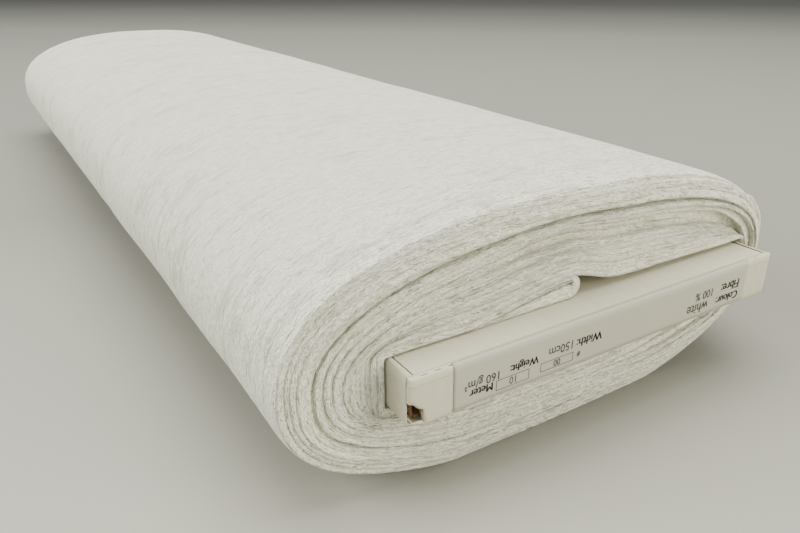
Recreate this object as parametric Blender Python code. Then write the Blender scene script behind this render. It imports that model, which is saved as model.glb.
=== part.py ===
"""Fabric bolt: one length of doubled cloth wound round a flat, hollow board of folded card.

Frame: X runs across the board, Y along the bolt with the labelled end towards -Y, Z up. The
origin is under the middle of the bolt, on the surface that it lies on. Sizes are in metres.
"""

import math

import bmesh
import bpy

# Wound cloth
ROLL_LENGTH = 0.750  # the cloth's 1.50 m width, folded once
CLOTH_LEFT = 0.0425  # wound cloth beyond the board's -X edge
CLOTH_RIGHT = 0.0185  # beyond its +X edge, the loose outer end included
CLOTH_UNDER = 0.039
CLOTH_OVER = 0.051
ROLL_SQUARENESS = 2.4  # exponent of the rounded outline: 2 is an ellipse
PRESSED_DEPTH = 0.002  # how far the round underside is pressed flat
OUTLINE_STEPS = 72
DOUBLED_CLOTH = 0.0021  # one turn: two plies and the air between them
FREE_END_FROM = math.radians(-20)  # outline angles that the loose outer end covers
FREE_END_TO = math.radians(25)
FREE_END_STEPS = 16
INNER_END_REACH = 0.096  # how far the first turn's edge lies over the board

# Board
BOARD_WIDTH = 0.210
BOARD_THICKNESS = 0.021
BOARD_OVERHANG = 0.015  # what stands out of the cloth at each end
CARD = 0.003
RIB_SETBACK = 0.030  # the ribs stop this far inside the end closures
DUST_FLAP_LENGTH = 0.040
TUCK_LENGTH = 0.014
TUCK_SIDE_CLEARANCE = 0.004
TUCK_LIFT = 0.0008  # between the tuck flap and the panel under it

# Torn corner of the labelled end, and its label
TORN_WIDTH = 0.0065
TORN_HEIGHT = 0.0070
LABEL_WIDTH = 0.173
LABEL_MARGIN = 0.0012  # bare card above and below the label
LABEL_THICKNESS = 0.00015

GAP = 0.0003  # between neighbouring pieces

ROLL_WIDTH = CLOTH_LEFT + BOARD_WIDTH + CLOTH_RIGHT
ROLL_HEIGHT = CLOTH_UNDER + BOARD_THICKNESS + CLOTH_OVER
BOARD_OFFSET = (CLOTH_LEFT - CLOTH_RIGHT) / 2  # to +X of the bolt's middle
BOARD_LENGTH = ROLL_LENGTH + 2 * BOARD_OVERHANG
LABEL_PROUD = GAP + LABEL_THICKNESS
MIDDLE_Y = LABEL_PROUD / 2
BOARD_LEFT = BOARD_OFFSET - BOARD_WIDTH / 2
BOARD_RIGHT = BOARD_OFFSET + BOARD_WIDTH / 2
BOARD_BOTTOM = CLOTH_UNDER
BOARD_TOP = BOARD_BOTTOM + BOARD_THICKNESS
PANEL_END = BOARD_LENGTH / 2 - CARD - GAP  # from the middle to the inside of a closure
CHAMBER_BOTTOM = BOARD_BOTTOM + CARD + GAP
CHAMBER_TOP = BOARD_TOP - CARD - GAP
INNER_LEFT = BOARD_LEFT + CARD + GAP
INNER_RIGHT = BOARD_RIGHT - CARD - GAP

WOUND_CENTRE_X = -(GAP + DOUBLED_CLOTH) / 2
WOUND_HALF_WIDTH = (ROLL_WIDTH - GAP - DOUBLED_CLOTH) / 2
WOUND_HALF_HEIGHT = (ROLL_HEIGHT + PRESSED_DEPTH) / 2
WOUND_CENTRE_Z = ROLL_HEIGHT - WOUND_HALF_HEIGHT


def clear_scene():
    for obj in list(bpy.data.objects):
        bpy.data.objects.remove(obj, do_unlink=True)


def make_material(name, colour, roughness):
    material = bpy.data.materials.new(name)
    material.use_nodes = True
    shader = material.node_tree.nodes["Principled BSDF"]
    shader.inputs["Base Color"].default_value = (*colour, 1.0)
    shader.inputs["Roughness"].default_value = roughness
    shader.inputs["Metallic"].default_value = 0.0
    material.diffuse_color = (*colour, 1.0)
    return material


def world_place(obj):
    """Where an unturned object's origin is, through its parents."""
    if obj is None:
        return (0.0, 0.0, 0.0)
    above = world_place(obj.parent)
    return tuple(a + b for a, b in zip(obj.location, above))


def put(obj, place, parent):
    """Links the object, under its parent, with its origin at a place in the model's frame."""
    PARTS.objects.link(obj)
    above = world_place(parent)
    obj.parent = parent
    obj.location = tuple(a - b for a, b in zip(place, above))


def make_pivot(name, place, parent=None):
    pivot = bpy.data.objects.new(name, None)
    pivot.empty_display_size = 0.02
    put(pivot, place, parent)
    return pivot


def make_plate(name, low, high, material, parent=None):
    """A flat panel between two corners of its box."""
    shape = bmesh.new()
    bmesh.ops.create_cube(shape, size=1.0)
    size = [b - a for a, b in zip(low, high)]
    bmesh.ops.scale(shape, vec=size, verts=shape.verts)
    mesh = bpy.data.meshes.new(name)
    shape.to_mesh(mesh)
    shape.free()
    mesh.materials.append(material)
    plate = bpy.data.objects.new(name, mesh)
    put(plate, [(a + b) / 2 for a, b in zip(low, high)], parent)
    return plate


def make_slab(name, rings, y_low, y_high, material, parent=None):
    """A solid with outlines in X and Z, a second ring being a hole, carried along Y."""
    curve = bpy.data.curves.new(name, "CURVE")
    curve.dimensions = "2D"
    curve.fill_mode = "BOTH"
    curve.extrude = (y_high - y_low) / 2
    above = world_place(parent)
    for ring in rings:
        spline = curve.splines.new("POLY")
        spline.points.add(len(ring) - 1)
        spline.use_cyclic_u = True
        for point, (x, z) in zip(spline.points, ring):
            point.co = (x - above[0], z - above[2], 0.0, 1.0)
    curve.materials.append(material)
    slab = bpy.data.objects.new(name, curve)
    put(slab, (above[0], (y_low + y_high) / 2, above[2]), parent)
    slab.rotation_euler = (math.pi / 2, 0.0, 0.0)
    return slab


def outline_point(angle, stand_off):
    """A point on the wound cloth's outline, or on one that stands off it."""
    power = 2 / ROLL_SQUARENESS
    across = math.copysign(abs(math.cos(angle)) ** power, math.cos(angle))
    up = math.copysign(abs(math.sin(angle)) ** power, math.sin(angle))
    x = WOUND_CENTRE_X + (WOUND_HALF_WIDTH + stand_off) * across
    z = WOUND_CENTRE_Z + (WOUND_HALF_HEIGHT + stand_off) * up
    return x, z


def outline_arc(start, end, steps, stand_off=0.0):
    angles = [start + (end - start) * i / steps for i in range(steps + 1)]
    return [outline_point(angle, stand_off) for angle in angles]


def make_cloth_roll(velvet):
    """The wound turns as one solid, flat where it rests, with a slot that the board lies in."""
    meets_floor = math.asin((WOUND_CENTRE_Z / WOUND_HALF_HEIGHT) ** (ROLL_SQUARENESS / 2))
    outside = outline_arc(-meets_floor, math.pi + meets_floor, OUTLINE_STEPS)
    left = BOARD_LEFT - GAP
    right = BOARD_RIGHT + GAP
    bottom = BOARD_BOTTOM - GAP
    top = BOARD_TOP + DOUBLED_CLOTH + 2 * GAP
    slot = [(left, bottom), (left, top), (right, top), (right, bottom)]
    ends = (MIDDLE_Y - ROLL_LENGTH / 2, MIDDLE_Y + ROLL_LENGTH / 2)
    make_slab("cloth_roll", [outside, slot], *ends, velvet)


def make_inner_end(velvet):
    """The edge that the winding starts from: it lies on the board and ends near its middle."""
    low = (BOARD_LEFT, MIDDLE_Y - ROLL_LENGTH / 2, BOARD_TOP + GAP)
    high = (
        BOARD_LEFT + INNER_END_REACH,
        MIDDLE_Y + ROLL_LENGTH / 2,
        BOARD_TOP + GAP + DOUBLED_CLOTH,
    )
    make_plate("cloth_inner_end", low, high, velvet)


def make_free_end(velvet):
    """The loose outer end, which comes up the +X side. It peels off about its lower edge."""
    inner = outline_arc(FREE_END_FROM, FREE_END_TO, FREE_END_STEPS, GAP)
    outer = outline_arc(FREE_END_TO, FREE_END_FROM, FREE_END_STEPS, GAP + DOUBLED_CLOTH)
    x, z = inner[0]
    pivot = make_pivot("free_end_peel", (x, MIDDLE_Y, z))
    ends = (MIDDLE_Y - ROLL_LENGTH / 2, MIDDLE_Y + ROLL_LENGTH / 2)
    make_slab("cloth_free_end", [inner + outer], *ends, velvet, pivot)


def make_board(card, slide):
    """The panels of the hollow board: each is one creased panel of the same card blank."""
    near = MIDDLE_Y - PANEL_END
    far = MIDDLE_Y + PANEL_END
    make_plate(
        "board_top_panel",
        (INNER_LEFT, near, BOARD_TOP - CARD),
        (INNER_RIGHT, far, BOARD_TOP),
        card,
        slide,
    )
    for side, x_low, x_high in (
        ("left", INNER_LEFT, BOARD_OFFSET - GAP / 2),
        ("right", BOARD_OFFSET + GAP / 2, INNER_RIGHT),
    ):
        make_plate(
            f"board_bottom_panel_{side}",
            (x_low, near, BOARD_BOTTOM),
            (x_high, far, BOARD_BOTTOM + CARD),
            card,
            slide,
        )
    for side, x_low in (("left", BOARD_LEFT), ("right", BOARD_RIGHT - CARD)):
        make_plate(
            f"board_side_wall_{side}",
            (x_low, near, BOARD_BOTTOM),
            (x_low + CARD, far, BOARD_TOP),
            card,
            slide,
        )
    for side, x_low in (
        ("left", BOARD_OFFSET - GAP / 2 - CARD),
        ("right", BOARD_OFFSET + GAP / 2),
    ):
        make_plate(
            f"board_rib_{side}",
            (x_low, near + RIB_SETBACK, CHAMBER_BOTTOM),
            (x_low + CARD, far - RIB_SETBACK, CHAMBER_TOP),
            card,
            slide,
        )


def flap_outline(torn):
    """The end flap's outline, anticlockwise from its bottom right corner."""
    outline = [
        (BOARD_RIGHT, BOARD_BOTTOM),
        (BOARD_RIGHT, BOARD_TOP),
        (BOARD_LEFT, BOARD_TOP),
    ]
    if torn:
        outline += [
            (BOARD_LEFT, BOARD_BOTTOM + TORN_HEIGHT),
            (BOARD_LEFT + 0.45 * TORN_WIDTH, BOARD_BOTTOM + 0.85 * TORN_HEIGHT),
            (BOARD_LEFT + 0.95 * TORN_WIDTH, BOARD_BOTTOM + 0.60 * TORN_HEIGHT),
            (BOARD_LEFT + TORN_WIDTH, BOARD_BOTTOM),
        ]
    else:
        outline.append((BOARD_LEFT, BOARD_BOTTOM))
    return outline


def span(side, start, end):
    """Two distances out from the middle on one side, as a lower and a higher Y."""
    low, high = sorted((side * start, side * end))
    return MIDDLE_Y + low, MIDDLE_Y + high


def make_end_flap(end, side, card, slide):
    """The flap that closes an end. It swings up about the crease on its outer top edge."""
    outside = BOARD_LENGTH / 2
    crease = make_pivot(
        f"{end}_end_crease", (BOARD_OFFSET, MIDDLE_Y + side * outside, BOARD_TOP), slide
    )
    ends = span(side, outside - CARD, outside)
    make_slab(f"{end}_end_flap", [flap_outline(end == "near")], *ends, card, crease)
    return crease


def make_tuck_flap(end, side, card, end_crease):
    """The tongue under the end flap. Its crease is where the two inner faces meet."""
    z_top = BOARD_BOTTOM + CARD + TUCK_LIFT + CARD
    inside = BOARD_LENGTH / 2 - CARD
    crease = make_pivot(
        f"{end}_tuck_crease", (BOARD_OFFSET, MIDDLE_Y + side * inside, z_top), end_crease
    )
    half_width = BOARD_WIDTH / 2 - CARD - GAP - DUST_FLAP_LENGTH - TUCK_SIDE_CLEARANCE
    y_low, y_high = span(side, inside - GAP - TUCK_LENGTH, inside - GAP)
    make_plate(
        f"{end}_tuck_flap",
        (BOARD_OFFSET - half_width, y_low, z_top - CARD),
        (BOARD_OFFSET + half_width, y_high, z_top),
        card,
        crease,
    )


def make_dust_flaps(end, side, card, slide):
    """The two flaps behind the end flap. Each swings inwards from its side wall."""
    inside = PANEL_END - CARD
    y_low, y_high = span(side, inside, PANEL_END)
    for name, x_crease, x_low in (
        ("left", INNER_LEFT, INNER_LEFT),
        ("right", INNER_RIGHT, INNER_RIGHT - DUST_FLAP_LENGTH),
    ):
        place = (x_crease, MIDDLE_Y + side * inside, BOARD_BOTTOM + BOARD_THICKNESS / 2)
        crease = make_pivot(f"{end}_dust_crease_{name}", place, slide)
        make_plate(
            f"{end}_dust_flap_{name}",
            (x_low, y_low, CHAMBER_BOTTOM),
            (x_low + DUST_FLAP_LENGTH, y_high, CHAMBER_TOP),
            card,
            crease,
        )


def make_label(paper, crease):
    """The paper label stuck over the middle of the near end flap."""
    y_high = MIDDLE_Y - BOARD_LENGTH / 2 - GAP
    make_plate(
        "end_label",
        (BOARD_OFFSET - LABEL_WIDTH / 2, y_high - LABEL_THICKNESS, BOARD_BOTTOM + LABEL_MARGIN),
        (BOARD_OFFSET + LABEL_WIDTH / 2, y_high, BOARD_TOP - LABEL_MARGIN),
        paper,
        crease,
    )


def make_bolt():
    velvet = make_material("white_crushed_velvet", (0.72, 0.72, 0.68), 0.55)
    card = make_material("white_lined_card", (0.56, 0.54, 0.48), 0.75)
    paper = make_material("label_paper", (0.50, 0.49, 0.44), 0.65)
    make_cloth_roll(velvet)
    make_inner_end(velvet)
    make_free_end(velvet)
    slide = make_pivot("board_slide", (BOARD_OFFSET, MIDDLE_Y, BOARD_BOTTOM))
    make_board(card, slide)
    for end, side in (("near", -1), ("far", 1)):
        end_crease = make_end_flap(end, side, card, slide)
        make_tuck_flap(end, side, card, end_crease)
        make_dust_flaps(end, side, card, slide)
        if end == "near":
            make_label(paper, end_crease)


clear_scene()
PARTS = bpy.data.collections.new("fabric_bolt")
bpy.context.scene.collection.children.link(PARTS)
make_bolt()
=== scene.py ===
"""Looks of the fabric bolt: wound crushed velvet, the folded card board in it, and its label."""

import math

import bpy
import numpy as np
from bpy.props import FloatProperty, FloatVectorProperty, IntProperty, PointerProperty
from mathutils import Matrix, Vector


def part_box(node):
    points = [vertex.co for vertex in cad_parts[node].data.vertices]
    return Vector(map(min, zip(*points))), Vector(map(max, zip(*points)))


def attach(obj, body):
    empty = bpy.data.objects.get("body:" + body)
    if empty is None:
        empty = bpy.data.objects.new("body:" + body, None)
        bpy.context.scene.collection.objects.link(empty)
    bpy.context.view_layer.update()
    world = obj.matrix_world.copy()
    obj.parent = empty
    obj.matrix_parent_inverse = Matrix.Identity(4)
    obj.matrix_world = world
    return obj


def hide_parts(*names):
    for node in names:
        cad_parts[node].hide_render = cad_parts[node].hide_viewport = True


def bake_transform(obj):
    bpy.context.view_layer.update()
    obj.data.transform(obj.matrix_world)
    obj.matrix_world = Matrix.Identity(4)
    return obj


bl_info = {
    "name": "Fabric Bolt",
    "version": (1, 0, 0),
    "blender": (4, 5, 0),
    "location": "3D View > Sidebar > Fabric Bolt",
    "description": "Dresses the packed fabric bolt in velvet, card and paper",
    "category": "Object",
}

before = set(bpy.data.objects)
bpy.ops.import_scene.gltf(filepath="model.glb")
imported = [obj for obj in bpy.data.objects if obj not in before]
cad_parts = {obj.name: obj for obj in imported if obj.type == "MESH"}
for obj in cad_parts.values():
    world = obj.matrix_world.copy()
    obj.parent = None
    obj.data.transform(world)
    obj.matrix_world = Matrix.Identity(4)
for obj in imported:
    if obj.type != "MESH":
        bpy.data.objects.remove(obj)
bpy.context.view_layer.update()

ROLL_LOW, ROLL_HIGH = (np.array(corner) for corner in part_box("cloth_roll"))
FREE_LOW, FREE_HIGH = (np.array(corner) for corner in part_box("cloth_free_end"))
LABEL_LOW, LABEL_HIGH = (np.array(corner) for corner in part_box("end_label"))
FLAP_LOW, FLAP_HIGH = (np.array(corner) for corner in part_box("near_end_flap"))

BOARD_LEFT, BOARD_BOTTOM = FLAP_LOW[0], FLAP_LOW[2]
BOARD_RIGHT, BOARD_TOP = FLAP_HIGH[0], FLAP_HIGH[2]
BOARD_MIDDLE = (BOARD_LEFT + BOARD_RIGHT) / 2
CARD = FLAP_HIGH[1] - FLAP_LOW[1]
FULL_TURN = 2 * math.pi


# Properties


class VelvetSettings(bpy.types.PropertyGroup):
    """Sizes and colours of the wound cloth."""

    turns: IntProperty(
        name="Turns", description="Whole turns of doubled cloth", default=17, min=6, max=30
    )
    shoulder: FloatProperty(
        name="Shoulder",
        description="How far in from the end the outer turns start to round over",
        default=0.022,
        unit="LENGTH",
    )
    end_unevenness: FloatProperty(
        name="End unevenness",
        description="How far single turns stand in or out at the ends",
        default=0.0007,
        unit="LENGTH",
    )
    pile: FloatVectorProperty(
        name="Pile", description="Colour of the pile", subtype="COLOR", default=(0.92, 0.91, 0.73)
    )
    # Painted shade: the darker colour that stands in for the crushed pile leaning away from the
    # light
    pile_shade: FloatVectorProperty(
        name="Shaded pile",
        description="Colour where the crushed pile leans away",
        subtype="COLOR",
        default=(0.68, 0.665, 0.525),
    )


class CardSettings(bpy.types.PropertyGroup):
    """Sizes and colours of the folded board and its label."""

    flute_pitch: FloatProperty(
        name="Flute pitch",
        description="From one flute of the corrugated card to the next",
        default=0.0065,
        unit="LENGTH",
    )
    liner: FloatProperty(
        name="Liner", description="Thickness of a liner", default=0.0004, unit="LENGTH"
    )
    crease_drop: FloatProperty(
        name="Crease drop",
        description="How far down the end a crease's rounding reaches",
        default=0.0034,
        unit="LENGTH",
    )
    crease_depth: FloatProperty(
        name="Crease depth",
        description="How far in over the top a crease's rounding reaches",
        default=0.0010,
        unit="LENGTH",
    )
    white: FloatVectorProperty(
        name="White liner",
        description="Outer liner",
        subtype="COLOR",
        default=(0.535, 0.522, 0.395),
    )
    # Brown of the kraft, made darker than the kraft itself so that it also paints the shade in the
    # torn corner, where the inner layers show
    brown: FloatVectorProperty(
        name="Brown liner",
        description="Inner liner and flutes",
        subtype="COLOR",
        default=(0.17, 0.10, 0.045),
    )
    paper: FloatVectorProperty(
        name="Label paper", description="Label", subtype="COLOR", default=(0.42, 0.412, 0.328)
    )
    ink: FloatVectorProperty(
        name="Ink", description="Printing", subtype="COLOR", default=(0.012, 0.012, 0.012)
    )


class StageSettings(bpy.types.PropertyGroup):
    """Floor and camera."""

    floor: FloatVectorProperty(
        name="Floor",
        description="Colour of the floor",
        subtype="COLOR",
        default=(0.268, 0.265, 0.226),
    )
    focal: FloatProperty(
        name="Focal length", description="Lens on a 36 mm wide sensor", default=31.64
    )
    camera_place: FloatVectorProperty(
        name="Camera place",
        description="Where the camera stands",
        subtype="TRANSLATION",
        default=(-0.2041, -0.5633, 0.1957),
    )
    heading: FloatProperty(
        name="Heading",
        description="Camera's turn away from +Y towards +X",
        subtype="ANGLE",
        default=math.radians(31.69),
    )
    pitch: FloatProperty(
        name="Pitch",
        description="Camera's tilt below level",
        subtype="ANGLE",
        default=math.radians(24.06),
    )
    roll: FloatProperty(
        name="Roll",
        description="Camera's turn about its view",
        subtype="ANGLE",
        default=math.radians(-0.42),
    )


# Shapes


def mesh_of(name, points, faces, materials, smooth=True):
    """An object at the origin from an array of points and faces, an array or a list."""
    mesh = bpy.data.meshes.new(name)
    faces = faces.tolist() if isinstance(faces, np.ndarray) else faces
    mesh.from_pydata(np.asarray(points, float).tolist(), [], faces)
    mesh.update()
    for material in materials:
        mesh.materials.append(material)
    mesh.polygons.foreach_set("use_smooth", np.full(len(mesh.polygons), smooth))
    piece = bpy.data.objects.new(name, mesh)
    bpy.context.scene.collection.objects.link(piece)
    return piece


def grid_faces(rows, columns, start=0):
    """Quads of a grid of rows by columns points, numbered row by row from start."""
    corner = (np.arange(rows - 1)[:, None] * columns + np.arange(columns - 1)[None, :]).ravel()
    return start + np.stack([corner, corner + 1, corner + columns + 1, corner + columns], axis=1)


def set_uv(piece, coordinates):
    """Gives the mesh a UV map from one pair of numbers for each point."""
    mesh = piece.data
    corners = np.empty(len(mesh.loops), np.int32)
    mesh.loops.foreach_get("vertex_index", corners)
    layer = mesh.uv_layers.new(name="cloth")
    layer.data.foreach_set("uv", np.asarray(coordinates, np.float32)[corners].ravel())


def smooth_noise(x, y, seed):
    """Value noise of two coordinates with one knot a unit: random heights, eased in between."""
    heights = np.random.default_rng(seed).uniform(-1, 1, (257, 257))
    column, row = np.floor(x).astype(int), np.floor(y).astype(int)
    across, along = x - column, y - row
    across, along = across**2 * (3 - 2 * across), along**2 * (3 - 2 * along)
    near = heights[column % 257, row % 257] * (1 - across)
    near = near + heights[(column + 1) % 257, row % 257] * across
    far = heights[column % 257, (row + 1) % 257] * (1 - across)
    far = far + heights[(column + 1) % 257, (row + 1) % 257] * across
    return near * (1 - along) + far * along


def ease(value):
    """Runs smoothly from 0 at 0 to 1 at 1, level at both ends."""
    value = np.clip(value, 0, 1)
    return value * value * (3 - 2 * value)


# Winding

BOARD_SLACK = 0.0009
OUTER_SQUARENESS = 2.4
INNER_SQUARENESS = 8.0
SQUARE_DEPTH = 0.13
CORNER_SQUARENESS = 90.0
CORNER_DEPTH = 0.04
PRESSED_DEPTH = 0.002
OUTLINE_SAMPLES = 2880
WINDING_LEVELS = 241
WINDING_FRACTIONS = 1441
TOP_LEVEL = 1.2

LIP_X = BOARD_MIDDLE - 0.014
LIP_RISE = 0.0072
LIP_FALL = 0.031
HEM_LENGTH = 0.055
LIP_RUN = 1.05 * HEM_LENGTH
LIP_FADE = 1.3
HEM_BEND = 0.3
HEM_WOUND = 1.4 * HEM_LENGTH
HEM_TAPER = 0.85
HEM_ROUND = 0.0012
HEM_GAP = 0.0003
FREE_END_STAND_OFF = 0.0004
FREE_END_HALF_THICKNESS = 0.00095
FREE_END_ROUND = 0.0011

FOLD_FLATNESS = 0.25
FOLD_GIRTH = 0.7
SELVAGE_PINCH = 0.85
GROOVE_LEVELS = (0, 0.05, 0.15, 0.25, 0.33, 0.37, 0.42, 0.46, 0.50, 0.55, 0.60)
GROOVE_LEVELS += (0.64, 0.68, 0.72, 0.76, 0.80, 0.86, 0.92, 1.0, 1.2)
# How far each turn's folded edge stands back from the end, in mm: right, top, left, bottom
GROOVES = (
    (2.5, 2.5, 2.5, 2.5, 3, 4, 6, 9, 12, 6, 1.5, 1, 3, 3, 1.5, 0.5, 0.5, 1.2, 2.6, 3),
    (1.5, 2, 2.5, 2, 2.5, 5, 3.5, 6, 10, 8, 1.5, 1, 6, 6.5, 5, 1, 0.5, 1.2, 2.8, 3),
    (0, 0.8, 2.5, 2, 1, 1.5, 2.5, 1, 0.5, 1, 2.5, 1, 1.5, 3, 1, 0, 0.5, 2.4, 2, 2.2),
    (5, 3, 4, 2, 3.5, 1.5, 1, 1, 0.5, 1, 1, 0.5, 0.5, 1, 0.5, 0.5, 0.5, 0.5, 0.7, 0.8),
)
# How much of the depth the shoulder takes off the outside at each end, at the same places
NEAR_SHOULDER = (0.10, 0.10, 0.045, 0.008)
FAR_SHOULDER = (0.05, 0.05, 0.04, 0.015)
# Air between groups of turns: level, how abrupt, and its share of the depth at those four places
AIR_GAPS = ((0.52, 0.035, (0.20, 0.07, 0.01, 0.0)), (0.80, 0.03, (0.06, 0.02, 0.01, 0.0)))


def outline_sizes(level):
    """Centre, half sizes and squareness of the turn at a level: 0 is the board, 1 the outside."""
    board_centre = np.array([BOARD_MIDDLE, (BOARD_BOTTOM + BOARD_TOP) / 2])
    board_half = np.array([BOARD_RIGHT - BOARD_LEFT, BOARD_TOP - BOARD_BOTTOM]) / 2
    board_half = board_half + BOARD_SLACK
    roll_centre = np.array([ROLL_LOW[0] + ROLL_HIGH[0], ROLL_HIGH[2] - PRESSED_DEPTH]) / 2
    roll_half = np.array([ROLL_HIGH[0] - ROLL_LOW[0], ROLL_HIGH[2] + PRESSED_DEPTH]) / 2
    centre = board_centre + level[:, None] * (roll_centre - board_centre)
    half = board_half + level[:, None] * (roll_half - board_half)
    squareness = (INNER_SQUARENESS - OUTER_SQUARENESS) * np.exp(-level / SQUARE_DEPTH)
    squareness = squareness + CORNER_SQUARENESS * np.exp(-level / CORNER_DEPTH)
    return centre, half, squareness + OUTER_SQUARENESS


def winding_table():
    """Points of nested outlines, in equal steps of length along each, from the +X side on.

    An outline is x = cx + a |cos t|^(2/n), z = cz + b |sin t|^(2/n), with the signs of the cosine
    and the sine. n = 2.4 + 5.6 exp(-level / 0.13) + 90 exp(-level / 0.04), which falls from the
    board's square corners to the outside's round ones.
    """
    level = np.linspace(0, TOP_LEVEL, WINDING_LEVELS)
    centre, half, squareness = outline_sizes(level)
    angle = np.linspace(0, FULL_TURN, OUTLINE_SAMPLES + 1)
    power = (2 / squareness)[:, None]
    x = centre[:, :1] + half[:, :1] * np.sign(np.cos(angle)) * np.abs(np.cos(angle)) ** power
    z = centre[:, 1:] + half[:, 1:] * np.sign(np.sin(angle)) * np.abs(np.sin(angle)) ** power
    step = np.hypot(np.diff(x, axis=1), np.diff(z, axis=1))
    along = np.concatenate([np.zeros((len(level), 1)), np.cumsum(step, axis=1)], axis=1)
    fraction = np.linspace(0, 1, WINDING_FRACTIONS)
    return np.array(
        [
            np.stack([np.interp(fraction * a[-1], a, across) for across in (px, pz)], axis=1)
            for a, px, pz in zip(along, x, z)
        ]
    )


WINDING = winding_table()


def wound_point(level, fraction):
    """Point in X and Z at a level and a fraction of the way round, read between table entries."""
    row = np.clip(level / TOP_LEVEL, 0, 1) * (WINDING_LEVELS - 1)
    column = np.mod(fraction, 1) * (WINDING_FRACTIONS - 1)
    row_low = np.minimum(np.floor(row).astype(int), WINDING_LEVELS - 2)
    column_low = np.minimum(np.floor(column).astype(int), WINDING_FRACTIONS - 2)
    u, v = (row - row_low)[..., None], (column - column_low)[..., None]
    low = WINDING[row_low, column_low] * (1 - v) + WINDING[row_low, column_low + 1] * v
    high = WINDING[row_low + 1, column_low] * (1 - v) + WINDING[row_low + 1, column_low + 1] * v
    return low * (1 - u) + high * u


def nearest_fraction(level, start, end, axis, value):
    """Where an outline, between two fractions, passes nearest to a value of X (0) or Z (1)."""
    fraction = np.linspace(start, end, 2400)
    points = wound_point(np.full(fraction.shape, level), fraction)
    return fraction[np.argmin(np.abs(points[:, axis] - value))]


def places_beside(fraction):
    """The places before and after a fraction of the way round, and how far it is between them.

    The places are the right, top, left and bottom, at 0, 1/4, 1/2 and 3/4 of the way round.
    """
    place = np.mod(fraction, 1) * 4
    low = np.floor(place).astype(int) % 4
    return low, (low + 1) % 4, ease(place - np.floor(place))


def around(fraction, values):
    """Reads the values of those four places round the outline, eased from each to the next."""
    low, high, part = places_beside(fraction)
    values = np.asarray(values, float)
    return values[low] * (1 - part) + values[high] * part


# How full a ply's place is at the folded edge and in the middle, as shares of half a turn's room
FULL_AT_FOLD = 1.35
FULL_INSIDE = 0.5
FULL_AT_SELVAGE = 0.98
FULL_LOOSE = 0.8
FOLD_REACH = 0.012
SELVAGE_REACH = 0.010
SELVAGE_ROUND = 0.0015
FAR_SHOULDER_REACH = 0.012
ENDS_REACH = 0.03
# Waves of the cloth: per turn, per metre along the bolt, random seed, height
DENTS = ((6.0, 16.0, 31, 0.00045), (24.0, 45.0, 32, 0.00018))
RIPPLE = (41.0, 70.0, 33, 0.00010)
# Steps of the folded edge: per turn, offset, random seed, share
EDGE_STEPS = ((5.3, 3.5, 11, 1.0), (17.0, 8.5, 12, 0.45), (44.0, 5.5, 13, 0.22))
SELVAGE_STEPS = ((3.1, 20.5, 21, 1.0), (17.0, 40.5, 22, 0.4))
SELVAGE_BACK = 0.0022
SELVAGE_WANDER = 0.0018
WANDER_LIMIT = 1.2
EDGE_LEAST = 0.0001
# Height that the turns press down to, next to the board and outside, and how softly they do
PRESSED_AT_BOARD = 0.0385
PRESSED_OUTSIDE = 0.0015
PRESSED_SOFTLY = 0.0004
LOWEST = 0.0003
# Where the shoulder starts in the depth, and which part of the outline passes over the lip
SHOULDER_FROM = 0.5
UPPER_PART = (0.02, 0.48)
UPPER_EASE = 0.06
# How fast the last part comes off the roll, and how near a column counts as the end
LOOSENING = 1.6
AT_END = 0.001
NEARLY_ONE = 0.999

# Rows across the cloth: their names, and where they are from the fold and in from a selvage
ROW_NAMES = ("side", "fold", "near", "inset", "reach")
NEAR_ROWS = (0.0012, 0.0035, 0.007, 0.012, 0.019, 0.028)
INSET_ROWS = (0.030, 0.018, 0.009, 0.004, 0.0015, 0.0006, 0.0)
FOLD_ROWS = 7
COARSE_PARTS = (0.33, 0.66)
FINE_PARTS = 100

LIP_FRACTION = nearest_fraction(0.03, 0.05, 0.45, 0, LIP_X)
HINGE_FRACTION = nearest_fraction(1.0, 0.85, 1.0, 1, FREE_LOW[2])
FREE_END_FRACTION = nearest_fraction(1.0, 0.0, 0.2, 1, FREE_HIGH[2])


def rounded(share):
    """A rounded rim: runs up a quarter circle from 0 at 0 to 1 at 1."""
    return np.sqrt(np.maximum(1 - (1 - np.clip(share, 0, 1)) ** 2, 0.0))


def pressed_up(z, level):
    """Keeps the lower turns above the height that they press down to, with a soft maximum."""
    pressed = PRESSED_AT_BOARD * (1 - level) + PRESSED_OUTSIDE * level
    above = (z - pressed) / PRESSED_SOFTLY
    soft = np.maximum(above, 0) + np.log1p(np.exp(-np.abs(above)))
    return np.maximum(pressed + PRESSED_SOFTLY * soft, LOWEST)


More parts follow.
